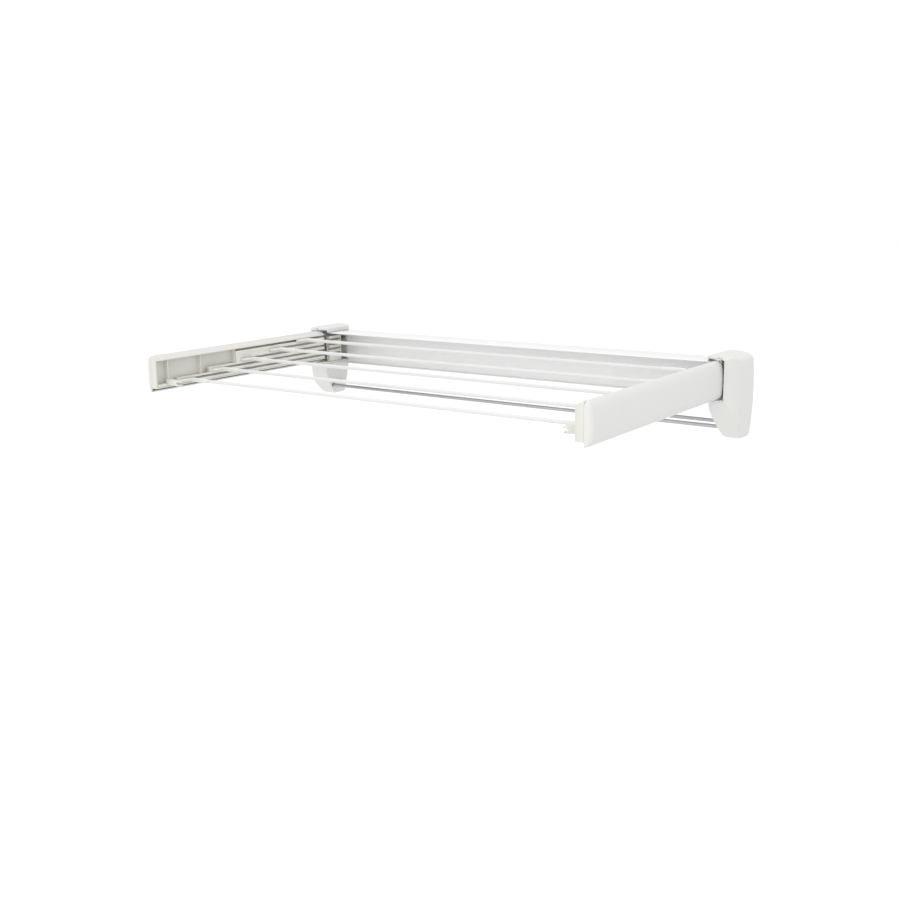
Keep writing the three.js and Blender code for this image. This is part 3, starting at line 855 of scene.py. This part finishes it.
# %% A solid of revolution
def turned(profile, y, z, sign, steps=40):
    """A closed solid of revolution about the X direction, in mm."""
    form = bmesh.new()
    rings = []
    for x, radius in profile:
        if radius == 0:
            rings.append([form.verts.new(in_frame(sign * x, y, z))])
            continue
        ring = []
        for i in range(steps):
            a = 2 * math.pi * i / steps
            ring.append(form.verts.new(in_frame(
                sign * x, y + radius * math.cos(a), z + radius * math.sin(a),
            )))
        rings.append(ring)
    for near, far in zip(rings, rings[1:] + rings[:1]):
        for i in range(steps):
            j = (i + 1) % steps
            corners = [
                near[i % len(near)], near[j % len(near)],
                far[j % len(far)], far[i % len(far)],
            ]
            distinct = list(dict.fromkeys(corners))
            if len(distinct) > 2:
                form.faces.new(distinct)
    bmesh.ops.recalc_face_normals(form, faces=form.faces)
    return linked("turned", mesh_of(form, "turned"))


# %% The rod ends
# Distances from the rack's middle, and radii there: from the bottom of the
# bore along it to the lip, and back over the taper to the closed end.
SLEEVE = [
    (456, 0), (456, 3.65), (410.3, 3.65), (410, 3.78), (410.2, 4.0), (412, 4.1),
    (448, 4.4), (455, 4.38), (458, 4.1), (459, 3.3), (459, 0),
]
WEB_HALF = 1.9  # half of the web's thickness
KEEPER = {"x": (474, 478.6), "reach": 10, "half": 3.2}
DIMPLE = {"x": 468.2, "radius": 1.3, "floor": 0.9, "along": (-15.5, 7.5)}


def rod_web(y, z, sign):
    """The web and its blade, drawn from above, round a rod at (y, z)."""
    web = prism("plan", outline(
        (457, y - 2),
        (457, y + 2),
        (465, y + 5, 467, y + 12),
        (479, y + 12),
        (479, y - 13),
        (470.4, y - 13),
        (470.4, y - 22),
        (466, y - 22),
        (462, y - 7, 457, y - 2),
    ), z - WEB_HALF, z + WEB_HALF, sign)
    return ease(web, 0.5)


def rod_keeper(y, z, sign):
    """The thick bar inside the groove, which keeps the blade from pulling out."""
    reach, half = KEEPER["reach"], KEEPER["half"]
    return ease(brick(KEEPER["x"], (y - reach, y + reach), (z - half, z + half), sign), 0.4)


def rod_end(side, sign, number):
    node = f"{side}_rod_glider_{number}"
    y, z = centre_line(f"drying_rod_{number}")
    web, keeper = rod_web(y, z, sign), rod_keeper(y, z, sign)
    piece = combine(turned(SLEEVE, y, z, sign), "UNION", web, keeper)
    for along in DIMPLE["along"]:
        place, heights = (DIMPLE["x"], y + along), (z + DIMPLE["floor"], z + 3)
        combine(piece, "DIFFERENCE", pillar(place, DIMPLE["radius"], heights, sign))
    piece.name = f"{node}_moulding"
    paint(piece, "glider")
    ease(piece, 0.15, corner=40)
    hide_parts(node)
    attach(piece, f"rod_{number}")


for number in RODS:
    for side, sign in SIDES.items():
        rod_end(side, sign, number)
print("rod ends:", len(SIDES) * len(RODS))

# %% [markdown]
# ## Screws
#
# Eight small screws hold the brackets and the rail. They are one pattern
# with two sizes, so Geometry Nodes build a head with a cross recess once and
# put it wherever the frame has a screw. The head narrows upwards, and two
# crossed bars cut the recess.

# %% A node tree for a cross-recess screw
HEAD_TOP = 0.82  # these four are in head radii or head heights
BAR_LENGTH, BAR_WIDTH = 1.1, 0.26
BAR_HEIGHT = 0.85


def screw_tree():
    tree, identifiers, given = new_tree("screw", {
        "Head radius": "Float", "Head height": "Float", "Shank radius": "Float",
        "Shank length": "Float", "Place": "Vector", "Turn": "Vector", "Finish": "Material",
    })

    def times(label, factor):
        inputs = {0: given[label], 1: factor}
        return add(tree, "ShaderNodeMath", inputs, operation="MULTIPLY").outputs[0]

    def lifted(shape, height):
        along_z = add(tree, "ShaderNodeCombineXYZ", {"Z": height}).outputs[0]
        return add(tree, "GeometryNodeTransform", {
            "Geometry": shape, "Translation": along_z,
        }).outputs[0]

    head = add(tree, "GeometryNodeMeshCone", {
        "Vertices": 32, "Radius Top": times("Head radius", HEAD_TOP),
        "Radius Bottom": given["Head radius"], "Depth": given["Head height"],
    }).outputs["Mesh"]
    shank = add(tree, "GeometryNodeMeshCylinder", {
        "Vertices": 24, "Radius": given["Shank radius"], "Depth": given["Shank length"],
    }).outputs["Mesh"]
    body = add(tree, "GeometryNodeMeshBoolean", {
        "Mesh 2": head,
    }, operation="UNION", solver="EXACT")
    tree.links.new(lifted(shank, times("Shank length", -0.5)), body.inputs["Mesh 2"])
    cross = add(tree, "GeometryNodeMeshBoolean", {
        "Mesh 1": body.outputs[0],
    }, operation="DIFFERENCE", solver="EXACT")
    wide, thin = times("Head radius", BAR_LENGTH), times("Head radius", BAR_WIDTH)
    for long_side, short_side in ((wide, thin), (thin, wide)):
        size = add(tree, "ShaderNodeCombineXYZ", {
            "X": long_side, "Y": short_side, "Z": given["Head height"],
        }).outputs[0]
        bar = add(tree, "GeometryNodeMeshCube", {"Size": size}).outputs["Mesh"]
        tree.links.new(lifted(bar, times("Head height", BAR_HEIGHT)), cross.inputs["Mesh 2"])
    placed = add(tree, "GeometryNodeTransform", {
        "Geometry": cross.outputs[0], "Translation": given["Place"],
        "Rotation": given["Turn"],
    })
    end_tree(tree, placed.outputs[0], given["Finish"])
    return tree, identifiers


SCREW, SCREW_INPUTS = screw_tree()

# %% The screws
QUARTER = math.pi / 2
SCREW_SIZES = {"wall": (2.8, 2.3), "rail": (1.8, 1.6)}  # head height, shank radius
PLACES = (("wall", "upper"), ("wall", "lower"), ("rail", "rear"), ("rail", "front"))


def screw(side, sign, kind, where):
    """A wall screw goes back into the wall, a rail screw into the rail's end."""
    node = f"{side}_{kind}_screw_{where}"
    low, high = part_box(node)
    size, centre = high - low, (low + high) / 2
    height, shank = [mm * MM for mm in SCREW_SIZES[kind]]
    if kind == "wall":
        turn = (QUARTER, 0, 0)
        place = (centre[0], low[1] + height / 2, centre[2])
        length = size[1] - height / 2
    else:
        turn = (0, sign * QUARTER, 0)
        end = high[0] if sign > 0 else low[0]
        place = (end - sign * height / 2, centre[1], centre[2])
        length = size[0] - height / 2
    piece = painted(f"{node}_cross_head", bpy.data.meshes.new(node), "zinc")
    grow(piece, SCREW, SCREW_INPUTS, {
        "Head radius": size[2] / 2, "Head height": height, "Shank radius": shank,
        "Shank length": length, "Place": place, "Turn": turn, "Finish": finishes["zinc"],
    })
    ease(piece, 0.12)
    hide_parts(node)
    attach(piece, "root")


for side, sign in SIDES.items():
    for kind, where in PLACES:
        screw(side, sign, kind, where)
print("screws:", len(SIDES) * len(PLACES))

# %% [markdown]
# ## The frame's size
#
# The looks must not change the size, so the frame's box is printed at the end.

# %% Print the frame's box
print("frame box:", cad_box)
